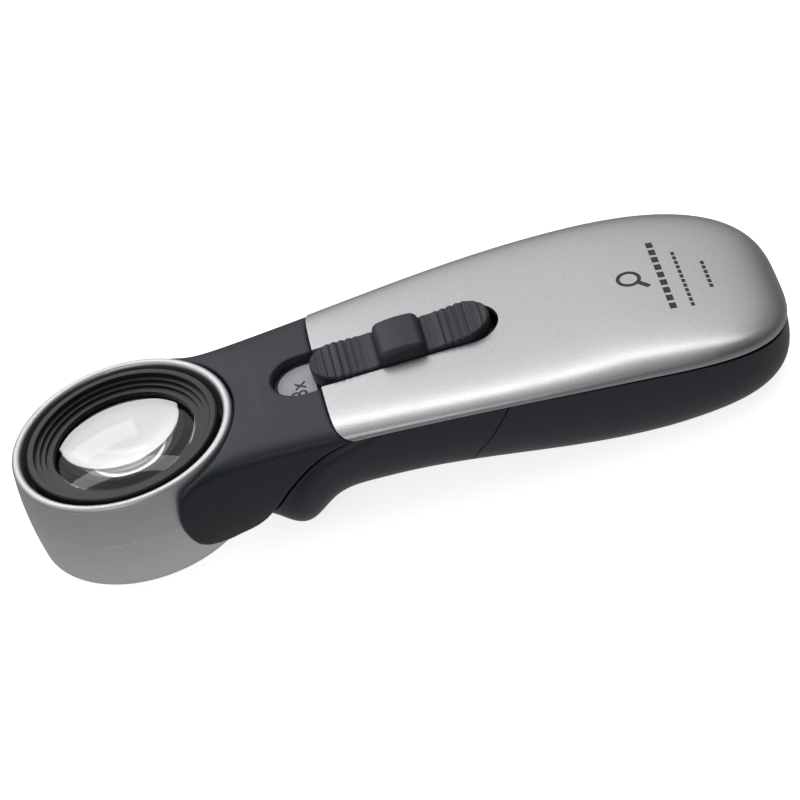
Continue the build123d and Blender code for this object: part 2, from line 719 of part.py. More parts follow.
with BuildPart() as socket_pins:
    with BuildSketch(Plane(origin=(hilt_x + plug_end + 0.45, 0, rim_z - plug_depth), x_dir=(0, 1, 0),
                           z_dir=(1, 0, 0))):
        with Locations((-pin_pitch / 2, 0), (pin_pitch / 2, 0)):
            Circle(pin_radius)
    extrude(amount=pin_length)
socket_pins.part.label = "socket_pins"

board_start = 56.5
board_length = 15.0
board_width = 20.0
board_top = -6.0
board_thickness = 1.6
parts_at = 11.0              # coil and chip, from the board's front end
coil_radius = 3.0
coil_height = 3.4
chip_length = 5.0
chip_width = 4.0
chip_height = 1.5
with BuildPart() as driver_board:
    with BuildSketch(TOP.offset(board_top)):
        with Locations((board_start + board_length / 2, 0)):
            Rectangle(board_length, board_width)
    extrude(amount=-board_thickness)
driver_board.part.label = "driver_board"

with BuildPart() as driver_coil:
    with BuildSketch(TOP.offset(board_top - board_thickness)):
        with Locations((board_start + parts_at, 5.0)):
            Circle(coil_radius)
    extrude(amount=-coil_height)
driver_coil.part.label = "driver_coil"

with BuildPart() as driver_chip:
    with BuildSketch(TOP.offset(board_top - board_thickness)):
        with Locations((board_start + parts_at, -4.0)):
            Rectangle(chip_length, chip_width)
    extrude(amount=-chip_height)
driver_chip.part.label = "driver_chip"

carrier_top = -2.0
carrier_end = slot_end - button_rear_play - 4.2
knob_at = 67.8
knob_length = 2.0
knob_width = 2.0
switch_top = -3.9
switch_width = 8.0
with BuildPart() as switch_body:
    with BuildSketch(TOP.offset(board_top)):
        with Locations((knob_at - slider_travel / 2, 0)):
            Rectangle(slider_travel + knob_length + 3.0, switch_width)
    extrude(amount=switch_top - board_top)
    with BuildSketch(TOP.offset(switch_top - 1.2)):
        with Locations((knob_at - slider_travel / 2, 0)):
            Rectangle(slider_travel + knob_length + 2 * part_gap, knob_width + 2 * part_gap)
    extrude(amount=3, mode=Mode.SUBTRACT)
switch_body.part.label = "switch_body"

with BuildPart() as switch_knob:
    with BuildSketch(TOP.offset(switch_top - 0.9)):
        with Locations((knob_at, 0)):
            Rectangle(knob_length, knob_width)
    extrude(amount=carrier_top - carrier_thickness - switch_top + 0.9)
switch_knob.part.label = "switch_knob"

# ---------------------------------------------------------------- slider
button_end = slot_end - button_rear_play
button_start = button_end - button_length
button_width = slot_width - 2 * button_play
block_start = (button_start + button_end - block_length) / 2
block_end = block_start + block_length
block_rise = 1.2


def pad_height_at(station, outer_end, inner_end):
    """Top of a dished thumb pad."""
    share = (station - outer_end) / (inner_end - outer_end)
    return pad_height - pad_dish * sin(pi * share) + 0.9 * share**3


def rib_arcs(first, last, outer_end, inner_end):
    """A row of half-round ribs across a pad, as arcs in the side view."""
    count = round((last - first) / rib_pitch)
    for k in range(count):
        left = first + (last - first) * k / count
        right = first + (last - first) * (k + 1) / count
        middle = (left + right) / 2
        ThreePointArc((left, pad_height_at(left, outer_end, inner_end)),
                      (middle, pad_height_at(middle, outer_end, inner_end) + rib_height),
                      (right, pad_height_at(right, outer_end, inner_end)))


with BuildPart() as slider_button:
    with BuildSketch(SIDE):
        with BuildLine():
            front_in = block_start - block_rise
            rear_in = block_end + block_rise
            rib_arcs(button_start, front_in, button_start, front_in)
            left_top = (block_start, block_height - 0.5)
            right_top = (block_end, block_height - 0.5)
            Line((front_in, pad_height_at(front_in, button_start, front_in)), left_top)
            ThreePointArc(left_top, ((block_start + block_end) / 2, block_height), right_top)
            Line(right_top, (rear_in, pad_height_at(rear_in, button_end, rear_in)))
            rib_arcs(rear_in, button_end, button_end, rear_in)
            Polyline((button_end, pad_height_at(button_end, button_end, rear_in)), (button_end, -pad_base),
                     (button_start, -pad_base),
                     (button_start, pad_height_at(button_start, button_start, front_in)))
        make_face()
    extrude(amount=slot_width, both=True)
    with BuildSketch(TOP.offset(-pad_base)):
        with Locations(((button_start + button_end) / 2, 0)):
            SlotOverall(button_length, button_width)
    extrude(amount=10, mode=Mode.INTERSECT)
    with BuildSketch(TOP.offset(-pad_base)):
        with Locations((carrier_end - carrier_length / 2, 0)):
            Rectangle(carrier_length - 2.0, button_width - 2.0)
    extrude(amount=carrier_top + pad_base)
slider_button.part.label = "slider_button"

with BuildPart() as slider_carrier:
    with BuildSketch(TOP.offset(carrier_top)):
        with Locations((carrier_end - carrier_length / 2, 0)):
            RectangleRounded(carrier_length, carrier_width, 1.5)
    extrude(amount=-carrier_thickness)
slider_carrier.part.label = "slider_carrier"

# ---------------------------------------------------------------- files
pieces = [head_ring, foot_ring, lens_holder, lens, lens_retainer, neck_shell, plug, power_plate,
          head_screws, light_window, lamp_board, lamp, plug_contacts, lamp_leads, top_cover, grip_shell,
          battery_cover, case_screws, battery_tray, contact_plates, contact_springs, socket,
          socket_pins, driver_board, driver_coil, driver_chip, switch_body, switch_knob, slider_button,
          slider_carrier] + cells
for piece in pieces:
    export_step(piece.part, f"parts/{piece.part.label}.step")
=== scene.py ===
"""Looks of the lighted hand lens: finely modelled shells, print and materials around the fixed CAD frame."""
import json
import math

import bmesh
import bpy
import numpy as np
import openvdb
from mathutils import Matrix, Quaternion, Vector


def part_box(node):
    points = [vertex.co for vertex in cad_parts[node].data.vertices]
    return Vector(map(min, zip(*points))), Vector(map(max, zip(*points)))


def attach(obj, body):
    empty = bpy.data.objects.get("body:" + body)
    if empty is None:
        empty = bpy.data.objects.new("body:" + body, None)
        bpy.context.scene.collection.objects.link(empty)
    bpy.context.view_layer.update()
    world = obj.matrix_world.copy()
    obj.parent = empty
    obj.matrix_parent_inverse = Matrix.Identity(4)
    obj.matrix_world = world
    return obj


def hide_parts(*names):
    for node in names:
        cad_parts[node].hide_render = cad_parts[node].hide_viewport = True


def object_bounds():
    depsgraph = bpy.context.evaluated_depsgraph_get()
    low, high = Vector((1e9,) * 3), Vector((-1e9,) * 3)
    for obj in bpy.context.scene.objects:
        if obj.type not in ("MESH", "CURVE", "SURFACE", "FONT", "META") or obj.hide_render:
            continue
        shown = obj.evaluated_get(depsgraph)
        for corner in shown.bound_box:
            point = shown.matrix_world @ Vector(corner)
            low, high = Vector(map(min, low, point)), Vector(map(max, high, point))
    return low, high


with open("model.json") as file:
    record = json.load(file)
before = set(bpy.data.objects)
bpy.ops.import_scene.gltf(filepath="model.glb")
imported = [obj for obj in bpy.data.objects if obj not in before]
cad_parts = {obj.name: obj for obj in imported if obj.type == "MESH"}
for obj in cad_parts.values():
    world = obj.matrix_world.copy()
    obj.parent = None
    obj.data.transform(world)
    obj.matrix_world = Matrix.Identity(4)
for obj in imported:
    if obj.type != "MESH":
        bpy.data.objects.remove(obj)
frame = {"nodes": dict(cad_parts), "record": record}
cad_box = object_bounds()
nodes = frame["nodes"]
scene = bpy.context.scene
MM = 0.001

# ---------------------------------------------------------------- sizes (mm), from the frame or as in the CAD
ring_low, ring_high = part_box("head_ring")
head_radius = (ring_high[0] - ring_low[0]) / 2 / MM
hilt_x = (ring_low[0] + ring_high[0]) / 2 / MM      # the handle's stations are counted from the head's axis
rim_crest = 0.5                                     # the ring's rounded rim stands above the rim plane
rim_z = ring_high[2] / MM - rim_crest               # heights are counted from the rim plane
reach = cad_box[1][0] / MM - hilt_x
crown = 1.0
neck_width = 42.8
handle_width = (cad_box[1][1] - cad_box[0][1]) / MM
grip_depth = 20.4
belly_drop = 7.6
hook_at = 33.0
hook_spread = 7.0
waist_at = 14.0
stretch = reach / 147.0
belly_at = 107.0 * stretch
keel_at = 118.0 * stretch
grip_ends_at = 55.0
seam_starts_at = 48.0
seam_front = 2.9
seam_fall = 11.0
top_fall = 1.6               # the top's fall towards the tail, and the power of its curve
top_fall_power = 1.6
top_fall_length = 60 * stretch
width_power = 3.1            # how squarely the tail closes in plan, above and below
top_power = 1.8
bottom_power = 3.5
upper_fullness = 0.8         # how square the sections are above and below the seam
lower_fullness = 0.93
cover_wall = 1.4
shell_wall = 1.8
shell_step = 0.4
edge_gap = 0.7               # the gap under the cover widens this much towards the tail
edge_gap_from = 75.0
part_gap = 0.3
collar_wall = 1.3
slot_width = 13.8
slot_start = 34.4
slot_end = 85.9
slot_depth = 3.2
button_length = 40.7
button_play = 0.4
button_rear_play = 1.7
block_length = 10.0

# Side-view joints between the shells, from the top down (station, height).
neck_back = [(44.3, 6.0), (44.4, 1.0), (45.9, -1.4), (48.4, -3.1)]
parting = [(48.4, -3.1), (42.4, -4.8), (37.0, -7.8), (31.4, -12.4), (28.2, -16.0), (25.5, -18.5)]
lobe_edge = [(24.6, -19.5), (20.9, -21.0), (16.2, -21.3), (12.1, -19.5), (9.1, -15.8), (7.8, -9.5),
             (9.6, -2.6), (13.5, -0.7), (20.0, -0.1), (26.0, 0.4), (31.0, 0.9), (33.0, 3.0)]
hatch_front = [(82.0, -3.9), (79.3, -7.6), (76.2, -11.5), (73.4, -14.2), (70.9, -18.0), (69.4, -21.0),
               (69.0, -30.0)]


# ---------------------------------------------------------------- the handle's outline
def ease(share):
    """0 to 1 with level ends."""
    share = min(max(share, 0.0), 1.0)
    return share * share * (3 - 2 * share)


def closing(share, power):
    """Superellipse that closes the outline at the tail."""
    if share <= 0:
        return 1.0
    return max(1 - min(share, 1.0) ** power, 0.0) ** (1 / power)


def seam_height(station):
    """Height of the joint between the cover and the dark shells."""
    share = max(station - seam_starts_at, 0) / (reach - seam_starts_at)
    return -seam_front - seam_fall * share**2.5


def outline(station, inset):
    """Half width, top, seam and bottom of the handle at a station."""
    end = reach - inset
    half_neck = neck_width / 2
    swell = (handle_width / 2 - half_neck) * ease((station - waist_at) / (belly_at - waist_at))
    width = (half_neck + swell - inset) * closing((station - belly_at) / (end - belly_at), width_power)
    tail = seam_height(reach)
    top = crown - top_fall * (max(station - hook_at, 0) / top_fall_length) ** top_fall_power - inset
    top = tail + (top - tail) * closing((station - belly_at) / (end - belly_at), top_power)
    fall = belly_drop * ease((station - grip_ends_at) / (keel_at - grip_ends_at))
    hook = belly_drop * math.exp(-(((station - hook_at) / hook_spread) ** 2))
    bottom = -grip_depth - fall - hook + inset
    bottom = tail + (bottom - tail) * closing((station - keel_at) / (end - keel_at), bottom_power)
    return width, top, seam_height(station), bottom


def on_section(share, width, seam, peak, fullness):
    """Half width and height on a rounded section; share 0 is at the seam and 1 at the middle."""
    a, b, c, d = (1 - share) ** 3, 3 * (1 - share) ** 2 * share, 3 * (1 - share) * share**2, share**3
    return width * (a + b + fullness * c), a * seam + b * (seam + fullness * (peak - seam)) + (c + d) * peak


def upper_point(station, share):
    """Point of the silver cover's section."""
    width, top, seam, _ = outline(station, 0.0)
    return on_section(share, width, seam, top, upper_fullness)


def shell_edge(station):
    """Top edge of the dark shells: the gap under the cover widens towards the tail."""
    widened = max(station - edge_gap_from, 0) / (reach - edge_gap_from)
    return seam_height(station) - shell_step - edge_gap * widened


def lower_point(station, share):
    """Point of the dark shells' section, which starts just under the cover and ends in its edge's height."""
    width, _, _, bottom = outline(station, shell_step)
    shut = closing((station - keel_at) / (reach - shell_step - keel_at), bottom_power)
    tail = seam_height(reach)
    tail_edge = shell_edge(reach)
    full = tail + (bottom - tail) / max(shut, 1e-6)
    bottom = tail_edge + (full - tail_edge) * shut
    edge = shell_edge(station)
    edge += (tail_edge - edge) * (1 - shut)
    return on_section(share, width, edge, bottom, lower_fullness)


def curve_through(points, per_span=12):
    """Smooth curve through points (Catmull-Rom)."""
    spread = [points[0]] + list(points) + [points[-1]]
    curve = []
    for k in range(len(points) - 1):
        p0, p1, p2, p3 = [np.array(p, dtype=float) for p in spread[k:k + 4]]
        for t in np.linspace(0, 1, per_span, endpoint=False):
            curve.append(0.5 * (2 * p1 + (p2 - p0) * t + (2 * p0 - 5 * p1 + 4 * p2 - p3) * t**2
                                + (3 * p1 - p0 - 3 * p2 + p3) * t**3))
    curve.append(np.array(points[-1], dtype=float))
    return np.array(curve)


def joint_station(curve, height):
    """Station where a joint that runs downwards has a height."""
    return float(np.interp(-height, -curve[:, 1], curve[:, 0]))


def meet(curve, point, share, start):
    """Station where a shell's surface line meets a joint in the side view."""
    station = start
    for _ in range(40):
        station = 0.5 * (station + joint_station(curve, point(station, share)[1]))
    return station


def tail_stations(start, end, step, width_at):
    """Stations with even steps along the plan outline, up to the tail."""
    fine = end - (end - start) * (1 - np.linspace(0, 1, 4000)) ** 3
    widths = np.array([width_at(s) for s in fine])
    run = np.concatenate([[0], np.cumsum(np.hypot(np.diff(fine), np.diff(widths)))])
    return list(np.interp(np.linspace(0, run[-1], int(run[-1] / step) + 1), run, fine))


# ---------------------------------------------------------------- making pieces
def add_piece(name, mesh, body, finish, *replaced):
    """Link a mesh as a piece that rides a body."""
    made = bpy.data.objects.new(name, mesh)
    scene.collection.objects.link(made)
    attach(made, body)
    if replaced:
        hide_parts(*replaced)
    return made


def place(station, y, height):
    """Metres in the record's frame."""
    return ((hilt_x + station) * MM, y * MM, (rim_z + height) * MM)


def half_grid_mesh(name, rows, up):
    """Mesh from a grid of the near half (station, y, height), mirrored and joined in the middle."""
    verts, faces = [], []
    count, across = len(rows), len(rows[0])
    for side in (-1, 1):
        base = len(verts)
        verts += [place(s, side * y, z) for row in rows for s, y, z in row]
        for i in range(count - 1):
            for j in range(across - 1):
                a, b = base + i * across + j, base + (i + 1) * across + j
                faces.append((a, b, b + 1, a + 1) if side * up > 0 else (a, a + 1, b + 1, b))
    mesh = bpy.data.meshes.new(name)
    mesh.from_pydata(verts, [], faces)
    work = bmesh.new()
    work.from_mesh(mesh)
    bmesh.ops.remove_doubles(work, verts=work.verts, dist=0.002 * MM)
    bmesh.ops.recalc_face_normals(work, faces=work.faces)
    lift = sum(face.normal.z * face.calc_area() for face in work.faces)
    if lift * up < 0:
        bmesh.ops.reverse_faces(work, faces=work.faces)
    for face in work.faces:
        face.smooth = True
    work.to_mesh(mesh)
    work.free()
    return mesh


def settle(piece):
    """Replace a piece's mesh by the result of its modifiers."""
    bpy.context.view_layer.update()
    solved = bpy.data.meshes.new_from_object(piece.evaluated_get(bpy.context.evaluated_depsgraph_get()))
    piece.modifiers.clear()
    piece.data = solved


def thicken(piece, wall, rounding):
    """Give a skin its wall thickness and rounded edges; the inside takes the second material."""
    solid = piece.modifiers.new("wall", "SOLIDIFY")
    solid.thickness = wall * MM
    solid.offset = -1
    solid.use_even_offset = True
    solid.material_offset = 1
    solid.material_offset_rim = 0
    edge = piece.modifiers.new("edges", "BEVEL")
    edge.width = rounding * MM
    edge.segments = 3
    edge.limit_method = "ANGLE"
    edge.angle_limit = math.radians(50)
    edge.harden_normals = True
    settle(piece)


def from_field(name, values, origin, cell):
    """Mesh of the surface where a field sampled on a box of cells is zero."""
    volume = openvdb.FloatGrid()
    volume.copyFromArray(np.ascontiguousarray(values, dtype=np.float32))
    points, triangles, quads = volume.convertToPolygons(isovalue=0.0, adaptivity=0.0)
    points = np.asarray(points) * cell + np.array(origin)
    mesh = bpy.data.meshes.new(name)
    faces = [tuple(int(k) for k in face) for face in list(quads) + list(triangles)]
    mesh.from_pydata([place(*p) for p in points], [], faces)
    work = bmesh.new()
    work.from_mesh(mesh)
    if work.calc_volume(signed=True) < 0:
        bmesh.ops.reverse_faces(work, faces=work.faces)
    for face in work.faces:
        face.smooth = True
    work.to_mesh(mesh)
    work.free()
    return mesh


def rounded_both(a, b, radius):
    """Where both fields are inside, with the edge between them rounded."""
    outside = np.hypot(np.maximum(a + radius, 0), np.maximum(b + radius, 0))
    return np.minimum(np.maximum(a, b), -radius) + outside


def loop_distance(px, pz, loop):
    """Signed distance in a plane to a closed loop of points."""
    best = np.full(px.shape, np.inf)
    inside = np.zeros(px.shape, dtype=bool)
    for (x1, z1), (x2, z2) in zip(loop, np.roll(loop, -1, axis=0)):
        dx, dz = x2 - x1, z2 - z1
        length = dx * dx + dz * dz
        if length < 1e-12:
            continue
        t = np.clip(((px - x1) * dx + (pz - z1) * dz) / length, 0, 1)
        best = np.minimum(best, np.hypot(px - x1 - t * dx, pz - z1 - t * dz))
        if z1 != z2:
            crosses = ((z1 > pz) != (z2 > pz)) & (px < (x2 - x1) * (pz - z1) / (z2 - z1) + x1)
            inside ^= crosses
    return np.where(inside, -best, best)


def stadium(station, y, start, end, width):
    """Signed distance in plan to a slot with round ends."""
    radius = width / 2
    along = np.clip(station, start + radius, end - radius)
    return np.hypot(station - along, y) - radius


# ---------------------------------------------------------------- shells
def top_cover():
    """Silver cover: a smooth skin from the neck joint round to the seam, open at the slot."""
    columns = 44
    gap = 0.45                          # a dark line shows between the neck and the cover
    follow = 14.0                       # the rows take up the joint's shape over this length
    joint = curve_through(neck_back) + np.array([gap, 0.0])
    front = joint_station(joint, crown)
    radius = slot_width / 2
    straight = list(np.arange(front, slot_end - radius, 1.0))
    arc = [slot_end - radius + radius * math.sin(math.pi / 2 * k / 18) for k in range(19)]
    back = list(np.linspace(slot_end, belly_at, 22))[1:]
    tail = tail_stations(belly_at, reach, 0.8, lambda s: outline(s, 0)[0])[1:]
    rows = []
    for base in straight + arc + back + tail:
        half_slot = radius if base < slot_end - radius else math.sqrt(
            max(radius**2 - (base - slot_end + radius) ** 2, 0))
        low, high = 0.0, 1.0
        for _ in range(40):
            middle = (low + high) / 2
            if upper_point(base, middle)[0] > half_slot:
                low = middle
            else:
                high = middle
        last = high if half_slot > 0.01 and base < slot_end else 1.0
        fade = max(0.0, 1 - (base - front) / follow) ** 1.5
        row = []
        for k in range(columns + 1):
            share = last * k / columns
            station = base
            for _ in range(12):
                station = base + (joint_station(joint, upper_point(station, share)[1]) - front) * fade
            row.append((station, *upper_point(station, share)))
        rows.append(row)
    mesh = half_grid_mesh("cover_skin", rows, 1)
    piece = add_piece("cover_skin", mesh, "handle", "silver_cover", "top_cover")
    piece.data.materials.append(materials["silver_cover"])
    piece.data.materials.append(materials["black_plastic"])
    thicken(piece, cover_wall, 0.22)


def grip_shell():
    """Dark grip with the finger hook."""
    gap = np.array([0.9, -0.5])         # open joint behind the neck, which shows as a dark line
    sink = 0.9                          # the sides draw in beside that joint
    sink_length = 3.2
    row_count = 70
    front = curve_through(parting) + gap
    back = curve_through(hatch_front)
    rows = []
    shares = [k / 40 for k in range(41)]
    starts = [meet(front, lower_point, share, 30.0) for share in shares]
    ends = [meet(back, lower_point, share, 72.0) for share in shares]
    for k in range(row_count + 1):
        along = (k / row_count) ** 1.25
        row = []
        for share, start, end in zip(shares, starts, ends):
            station = start + (end - start) * along
            y, z = lower_point(station, share)
            sunk = sink * math.exp(-(((station - start) / sink_length) ** 2)) * (1 - share**6)
            row.append((station, y - sunk, z))
        rows.append(row)
    mesh = half_grid_mesh("grip_skin", rows, -1)
    piece = add_piece("grip_skin", mesh, "handle", "grip_plastic", "grip_shell")
    piece.data.materials.append(materials["grip_plastic"])
    piece.data.materials.append(materials["black_plastic"])
    thicken(piece, shell_wall, 0.3)


def battery_cover():
    """Dark battery cover round the tail."""
    back = curve_through(hatch_front) + np.array([part_gap, 0.0])
    front = back[-1][0]
    shares = [k / 40 for k in range(41)]
    starts = [meet(back, lower_point, share, 72.0) for share in shares]
    end = reach - shell_step
    bases = list(np.linspace(front, belly_at, 44))
    bases += tail_stations(belly_at, end, 0.8, lambda s: outline(s, shell_step)[0])[1:]
    rows = []
    for base in bases:
        fade = max(0.0, 1 - (base - front) / (belly_at - front)) ** 1.3
        row = []
        for share, start in zip(shares, starts):
            station = base + (start - front) * fade
            row.append((station, *lower_point(station, share)))
        rows.append(row)
    mesh = half_grid_mesh("battery_skin", rows, -1)
    piece = add_piece("battery_skin", mesh, "battery_lid", "grip_plastic", "battery_cover")
    piece.data.materials.append(materials["grip_plastic"])
    piece.data.materials.append(materials["black_plastic"])
    thicken(piece, shell_wall, 0.3)


def neck_shell():
    """Grey neck: its sides swell round the head as two soft lobes, with the slot's front end on top."""
    cell = 0.3
    collar = head_radius + collar_wall
    gap = 0.15                          # on the neck's side of the joint with the cover
    lobe_depth = -27.0                  # beside the head the sections run deeper than the side view's edge,
    lobe_end, lobe_fade = 20.0, 13.0    # and behind it they come up to the handle's underside
    blend, blend_length = 1.1, 2.2      # the lobes flow into the handle's sides
    crisp, softer = 0.4, 0.6            # the edges are crisp at the cover and softer round the head
    soft_end, soft_fade = 18.0, 8.0
    bore_share = 0.7                    # rounding at the head's bore, and at the slot
    slot_rounding = 0.3
    xs = np.arange(6.5, 50.5, cell)
    ys = np.arange(-28.2, 28.3, cell)
    zs = np.arange(-23.0, 3.0, cell)
    body = np.empty((len(xs), len(ys), len(zs)), dtype=np.float32)
    yy, zz = np.meshgrid(np.abs(ys), zs, indexing="ij")
    shares = np.linspace(0, 1, 120)
    for k, station in enumerate(xs):
        width, top, seam, bottom = outline(station, part_gap)
        lobe = math.sqrt(max(collar**2 - station**2, 1.0))
        width = max(width, lobe) + blend * math.exp(-abs(width - lobe) / blend_length)
        bottom = bottom + (lobe_depth - bottom) * (1 - ease((station - lobe_end) / lobe_fade))
        upper = [on_section(t, width, seam, top, upper_fullness) for t in shares]
        lower = [on_section(t, width, seam, bottom, lower_fullness) for t in shares]
        loop = np.array(lower[::-1] + upper[1:])
        turn = np.arctan2(loop[:, 1] - seam, loop[:, 0])
        size = np.hypot(loop[:, 0], loop[:, 1] - seam)
        body[k] = np.hypot(yy, zz - seam) - np.interp(np.arctan2(zz - seam, yy), turn, size)
    slope = np.sqrt(sum(part**2 for part in np.gradient(body, cell)))
    body = body / np.clip(slope, 0.6, 3.0)      # close to a true distance, so edges round evenly
    top_edge = curve_through(neck_back) - np.array([gap, 0.0])
    low_edge = curve_through(parting[:-1] + lobe_edge)
    outer = np.vstack([top_edge, low_edge[1:], [[33.0, 6.0]]])
    px, pz = np.meshgrid(xs, zs, indexing="ij")
    profile = loop_distance(px, pz, outer)[:, None, :]
    soft = np.array([crisp + softer * (1 - ease((station - soft_end) / soft_fade)) for station in xs])
    soft = soft[:, None, None]
    body = rounded_both(body, profile, soft)
    gx, gy, gz = np.meshgrid(xs, ys, zs, indexing="ij")
    body = rounded_both(body, head_radius - np.hypot(gx, gy), bore_share * soft)
    pocket = np.maximum(stadium(gx, gy, slot_start, slot_end, slot_width), crown - slot_depth - gz)
    body = rounded_both(body, -pocket, slot_rounding)
    mesh = from_field("neck_skin", body, (xs[0], ys[0], zs[0]), cell)
    mesh.materials.append(materials["grey_plastic"])
    add_piece("neck_skin", mesh, "head", "grey_plastic", "neck_shell")


# ---------------------------------------------------------------- slider
def slider_button():
    """Thumb slider: a raised block between two dished, ribbed pads, with soft edges."""
    button_end = slot_end - button_rear_play
    button_start = button_end - button_length
    middle = (button_start + button_end) / 2
    block_start, block_end = middle - block_length / 2, middle + block_length / 2
    rise = 1.2                          # from a pad's inner end to the block
    pad_height, pad_dish = 1.85, 0.75
    rib_pitch = 1.75
    block_height, block_slope = 3.9, 3.4
    block_edge, block_edge_drop = 1.3, 0.6
    fillet = 1.7                        # softens the foot of the block
    pad_rounding, block_rounding = 0.55, 1.2
    underside = -1.2
    cell = 0.13
    xs = np.arange(button_start - 0.6, button_end + 0.6, cell)
    ys = np.arange(-7.0, 7.01, cell)
    zs = np.arange(-1.7, 4.9, cell)
    top = np.empty_like(xs)
    rounding = np.empty_like(xs)
    for k, station in enumerate(xs):
        if station < middle:
            outer_end, inner_end = button_start, block_start - rise
        else:
            outer_end, inner_end = button_end, block_end + rise
        share = min(max((station - outer_end) / (inner_end - outer_end), 0), 1.3)
        pad = pad_height - pad_dish * math.sin(0.75 * math.pi * min(share, 1) ** 1.5)
        ribs = round(abs(inner_end - outer_end) / rib_pitch)
        phase = (share * ribs) % 1.0
        strength = (0.36 + 0.08 * math.sin(7.3 * share * ribs)) * ease((0.97 - share) / 0.25)
        if share < 1:
            pad += strength * math.sqrt(max(1 - (2 * phase - 1) ** 2, 0))
        inside = min(station - block_start, block_end - station)
        block = block_height - 0.02 * (station - middle) ** 2 - block_slope * max(0, -inside)
        block -= block_edge_drop * max(0.0, 1 - max(inside, 0) / block_edge) ** 2
        mix = min(max(0.5 + 0.5 * (block - pad) / fillet, 0), 1)
        top[k] = pad + (block - pad) * mix + fillet * mix * (1 - mix) * 0.6
        rounding[k] = pad_rounding + block_rounding * mix
    gx, gy, gz = np.meshgrid(xs, ys, zs, indexing="ij")
    steep = np.sqrt(1 + np.gradient(top, cell) ** 2)
    lid = (gz - top[:, None, None]) / steep[:, None, None]
    plan = stadium(gx, gy, button_start, button_end, slot_width - 2 * button_play)
    body = rounded_both(lid, plan, rounding[:, None, None])
    body = rounded_both(body, underside - gz, 0.1)
    mesh = from_field("slider_skin", body, (xs[0], ys[0], zs[0]), cell)
    mesh.materials.append(materials["slider_plastic"])
    add_piece("slider_skin", mesh, "slider", "slider_plastic", "slider_button")


# ---------------------------------------------------------------- print
def surface_height(station, y):
    """Top of the cover at a place in plan."""
    low, high = 0.0, 1.0
    for _ in range(40):
        middle = (low + high) / 2
        if upper_point(station, middle)[0] > abs(y):
            low = middle
        else:
            high = middle
    return upper_point(station, high)[1]


def ink(name, outlines):
    """Thin print that follows the cover; each outline is a list of (station, y) pairs of strip edges."""
    above, below = 0.035, -0.03         # faces of the print, from the cover's surface
    verts, faces = [], []
    for strip in outlines:
        base = len(verts)
        for (s1, y1), (s2, y2) in strip:
            for lift in (above, below):
                verts.append(place(s1, y1, surface_height(s1, y1) + lift))
                verts.append(place(s2, y2, surface_height(s2, y2) + lift))
        count = len(strip)
        for k in range(count - 1):
            a, b = base + 4 * k, base + 4 * (k + 1)
            faces += [(a, a + 1, b + 1, b), (a + 2, b + 2, b + 3, a + 3), (a, b, b + 2, a + 2),
                      (a + 1, a + 3, b + 3, b + 1)]
        last = base + 4 * (count - 1)
        faces += [(base, base + 2, base + 3, base + 1), (last, last + 1, last + 3, last + 2)]
    mesh = bpy.data.meshes.new(name)
    mesh.from_pydata(verts, [], faces)
    work = bmesh.new()
    work.from_mesh(mesh)
    bmesh.ops.recalc_face_normals(work, faces=work.faces)
    work.to_mesh(mesh)
    work.free()
    mesh.materials.append(materials["ink"])
    add_piece(name, mesh, "handle", "black_plastic")


def bar(station, y_start, y_end, thickness):
    """Straight printed bar across the handle."""
    steps = max(2, int(abs(y_end - y_start) / 0.8) + 1)
    return [((station - thickness / 2, y), (station + thickness / 2, y))
            for y in np.linspace(y_start, y_end, steps)]


def tail_print():
    """A plain magnifier pictogram and neutral bars where the maker's print stands on the real one."""
    centre_x, centre_y = 115.4, 0.6
    inner, outer = 1.9, 2.75            # the ring's radii
    stem_start, stem_end = 2.7, 5.4
    half_stem = 0.42
    diagonal = 0.707
    turns = np.linspace(0, 2 * math.pi, 49)
    ring = [((centre_x + inner * math.cos(a), centre_y + inner * math.sin(a)),
             (centre_x + outer * math.cos(a), centre_y + outer * math.sin(a))) for a in turns]
    stem = []
    for r in np.linspace(stem_start, stem_end, 6):
        x, y = centre_x + r * diagonal, centre_y - r * diagonal
        stem.append(((x - half_stem, y - half_stem), (x + half_stem, y + half_stem)))
    ink("tail_pictogram", [ring, stem])
    # Each row of bars: station, first and last y, pitch, then a bar's length and thickness.
    rows = [(122.4, -12.4, 12.0, 2.9, 2.0, 1.5), (126.6, -12.4, 8.6, 1.75, 1.2, 0.8),
            (132.0, -6.4, 2.4, 1.75, 1.2, 0.8)]
    bars = []
    for station, first, last, pitch, length, thickness in rows:
        bars += [bar(station, y, y + length, thickness) for y in np.arange(first, last, pitch)]
    ink("tail_bars", bars)


def plate_number():
    """The lens's power on the pale plate in the slot."""
    plate_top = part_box("power_plate")[1][2]
    station, side = 41.5, -2.3
    above = 0.012
    data = bpy.data.curves.new("power_number", "FONT")
    data.body = "8x"
    data.size = 5.2 * MM
    data.space_character = 1.12
    data.extrude = 0.02 * MM
    data.offset = 0.05 * MM
    data.align_x = "CENTER"
    text = bpy.data.objects.new("power_number_text", data)
    scene.collection.objects.link(text)
    text.location = ((hilt_x + station) * MM, side * MM, plate_top + above * MM)
    text.rotation_euler = (0, 0, math.radians(90))
    bpy.context.view_layer.update()
    mesh = bpy.data.meshes.new_from_object(text.evaluated_get(bpy.context.evaluated_depsgraph_get()))
    mesh.transform(text.matrix_world)
    bpy.data.objects.remove(text)
    mesh.materials.clear()
    mesh.materials.append(materials["ink"])
    add_piece("power_number", mesh, "head", "black_plastic")


